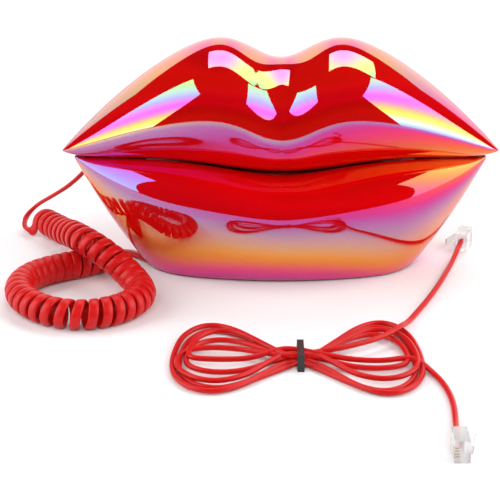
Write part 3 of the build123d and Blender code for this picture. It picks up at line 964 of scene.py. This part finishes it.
# --------------------------------------------------------------------------------------------------
# Carried-over CAD pieces
# --------------------------------------------------------------------------------------------------
NODE_FINISHES: dict[str, Finish] = {
    "base_deck": Finishes.RED_PLASTIC, "base_bottom_cover": Finishes.RED_PLASTIC,
    "handset_rest_left": Finishes.RED_PLASTIC, "handset_rest_right": Finishes.RED_PLASTIC,
    "handset_cover": Finishes.RED_PLASTIC, "base_screws": Finishes.STEEL,
    "handset_screws": Finishes.STEEL, "base_weight": Finishes.STEEL, "handset_weight": Finishes.STEEL,
    "hook_spring": Finishes.STEEL, "base_circuit_board": Finishes.BOARD,
    "keypad_circuit_board": Finishes.BOARD, "hook_switch_body": Finishes.BLACK_PLASTIC,
    "hook_plunger": Finishes.BLACK_PLASTIC, "ringer_buzzer": Finishes.BLACK_PLASTIC,
    "ringer_switch_body": Finishes.BLACK_PLASTIC, "ringer_switch_knob": Finishes.BLACK_PLASTIC,
    "line_jack": Finishes.BLACK_PLASTIC, "base_cord_jack": Finishes.BLACK_PLASTIC,
    "handset_cord_jack": Finishes.BLACK_PLASTIC, "line_jack_contacts": Finishes.GOLD,
    "line_plug_a_contacts": Finishes.GOLD, "line_plug_b_contacts": Finishes.GOLD,
    "base_cord_plug": Finishes.CLEAR, "handset_cord_plug": Finishes.CLEAR,
    "line_plug_a": Finishes.CLEAR, "line_plug_b": Finishes.CLEAR,
    "keypad_membrane": Finishes.GREY_RUBBER, "earpiece_gasket": Finishes.GREY_RUBBER,
    "earpiece_speaker": Finishes.STEEL, "microphone": Finishes.ALUMINIUM,
    "line_cord_tie": Finishes.TIE_BLACK,
}


def dress_nodes(finishes: Finishes) -> None:
    """Give every carried-over CAD piece its finish.

    Args:
        finishes: The made materials.
    """
    for name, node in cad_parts.items():
        if name.startswith("foot_"):
            finish = Finishes.BLACK_RUBBER
        elif name.startswith("key_"):
            finish = Finishes.KEY_WHITE
        else:
            finish = NODE_FINISHES.get(name)
        if finish is None:
            continue
        node.data.materials.clear()
        node.data.materials.append(finishes.get(finish))
    LOG.info("dressed %d CAD pieces", len(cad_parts))


@dataclass(frozen=True)
class KeyDigits:
    """The printed figure on each key, which reads along +Y with its top towards +X, seen from below."""

    height: float = 4.6 * MM
    depth: float = 0.03 * MM
    figures: dict[str, str] = field(default_factory=lambda: {
        **{f"key_{digit}": str(digit) for digit in range(10)}, "key_star": "*", "key_hash": "#"})

    def build(self, material: bpy.types.Material) -> None:
        """Print every key.

        Args:
            material: The figures' ink.
        """
        reading = Matrix(((0.0, 1.0, 0.0), (1.0, 0.0, 0.0), (0.0, 0.0, -1.0))).to_4x4()
        for key, figure in self.figures.items():
            curve = bpy.data.curves.new(f"{key}_print", "FONT")
            curve.body = figure
            curve.size = self.height
            curve.extrude = self.depth
            curve.align_x, curve.align_y = "CENTER", "CENTER"
            source = bpy.data.objects.new(f"{key}_print_source", curve)
            mesh = bpy.data.meshes.new_from_object(source)
            bm = bmesh.new()
            bm.from_mesh(mesh)
            bmesh.ops.remove_doubles(bm, verts=bm.verts, dist=1e-7)
            low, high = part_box(key)
            place = Vector(((low[0] + high[0]) / 2.0, (low[1] + high[1]) / 2.0, low[2]))
            bmesh.ops.transform(bm, matrix=Matrix.Translation(place) @ reading, verts=bm.verts)
            piece = to_object(f"{key}_print", bm, material)
            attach(piece, key)
            bpy.data.objects.remove(source)
            bpy.data.meshes.remove(mesh)
            bpy.data.curves.remove(curve)
        LOG.info("printed %d keys", len(self.figures))


# --------------------------------------------------------------------------------------------------
# Studio
# --------------------------------------------------------------------------------------------------
@dataclass(frozen=True)
class Softbox:
    """A soft rectangular light."""

    name: str
    place: Point
    aim: Point
    size: tuple[float, float]
    power: float
    colour: Colour = (1.0, 1.0, 1.0)
    mirrored: bool = True


@dataclass
class Studio:
    """Pale floor, soft light and the camera."""

    lights: tuple[Softbox, ...] = (
        Softbox("overhead", (0.27, 0.90, 1.30), (0.27, 0.90, 0.0), (1.36, 0.95), 14.0),
        Softbox("left_wall", (-1.05, -0.21, 0.86), (0.0, -0.21, 0.86), (1.08, 1.64), 19.0),
        Softbox("right_wall", (1.05, -0.21, 0.80), (0.0, -0.21, 0.80), (1.30, 1.58), 22.0),
        Softbox("backdrop", (0.0, 2.45, 0.70), (0.0, 0.0, 0.70), (4.4, 1.40), 26.0),
        Softbox("front_fill", (0.0, -1.6, 1.5), (0.0, 0.0, 0.05), (1.6, 1.2), 24.0, mirrored=False),
    )
    aim: Point = (-0.015, 0.00625, 0.0025)
    distance: float = 0.85
    pitch_degrees: float = 22.0
    lens: float = 121.2
    room_light: float = 0.012

    def build(self, finishes: Finishes) -> None:
        """Set up the floor, the lights, the surroundings and the camera.

        Args:
            finishes: The made materials.
        """
        self._floor(finishes)
        for light in self.lights:
            self._light(light)
        world = bpy.data.worlds.new("studio")
        world.use_nodes = True
        world.node_tree.nodes["Background"].inputs["Color"].default_value = (0.9, 0.9, 1.0, 1.0)
        world.node_tree.nodes["Background"].inputs["Strength"].default_value = self.room_light
        bpy.context.scene.world = world
        bpy.context.scene.view_settings.view_transform = "Standard"
        self._camera()

    def _floor(self, finishes: Finishes) -> None:
        """Lay the pale floor.

        Args:
            finishes: The made materials.
        """
        bm = bmesh.new()
        bmesh.ops.create_grid(bm, x_segments=1, y_segments=1, size=1.0)
        bmesh.ops.scale(bm, vec=(2.2, 2.3, 1.0), verts=bm.verts)
        bmesh.ops.translate(bm, vec=(0.0, 0.2, 0.0), verts=bm.verts)
        floor = to_object("floor", bm, finishes.get(Finishes.FLOOR))

    def _light(self, softbox: Softbox) -> None:
        """Hang one softbox.

        Args:
            softbox: The light's place, size and power.
        """
        data = bpy.data.lights.new(softbox.name, "AREA")
        data.shape = "RECTANGLE"
        data.size, data.size_y = softbox.size
        data.energy = softbox.power
        data.color = softbox.colour
        lamp = bpy.data.objects.new(softbox.name, data)
        lamp.location = softbox.place
        direction = Vector(softbox.aim) - Vector(softbox.place)
        lamp.rotation_euler = direction.to_track_quat("-Z", "Y").to_euler()
        lamp.visible_glossy = softbox.mirrored
        bpy.context.scene.collection.objects.link(lamp)

    def _camera(self) -> None:
        """Stand the camera in front, looking a little down."""
        data = bpy.data.cameras.new("camera")
        data.lens = self.lens
        data.sensor_width = 36.0
        camera = bpy.data.objects.new("camera", data)
        pitch = math.radians(self.pitch_degrees)
        back = Vector((0.0, -math.cos(pitch), math.sin(pitch))) * self.distance
        camera.location = Vector(self.aim) + back
        camera.rotation_euler = (math.radians(90.0) - pitch, 0.0, 0.0)
        bpy.context.scene.collection.objects.link(camera)
        bpy.context.scene.camera = camera


def main() -> None:
    """Build the studio, the cords, the lips and the rest of the telephone in order."""
    finishes = Finishes()
    Studio().build(finishes)
    CurlyCord().build(finishes.get(Finishes.CORD_RED))
    LineCord().build(finishes.get(Finishes.CORD_RED))
    upper, lower = finishes.get(Finishes.UPPER_GLOSS), finishes.get(Finishes.LOWER_GLOSS)
    HandsetShell("upper_lip", "handset_shell", "handset", 107.4, -55.0, 235.0).build(upper)
    BaseShell("lower_lip", "base_shell", "base", 101.5, 53.0, -233.0).build(lower)
    KeyDigits().build(finishes.get(Finishes.KEY_INK))
    dress_nodes(finishes)


if __name__ == "__main__":
    main()
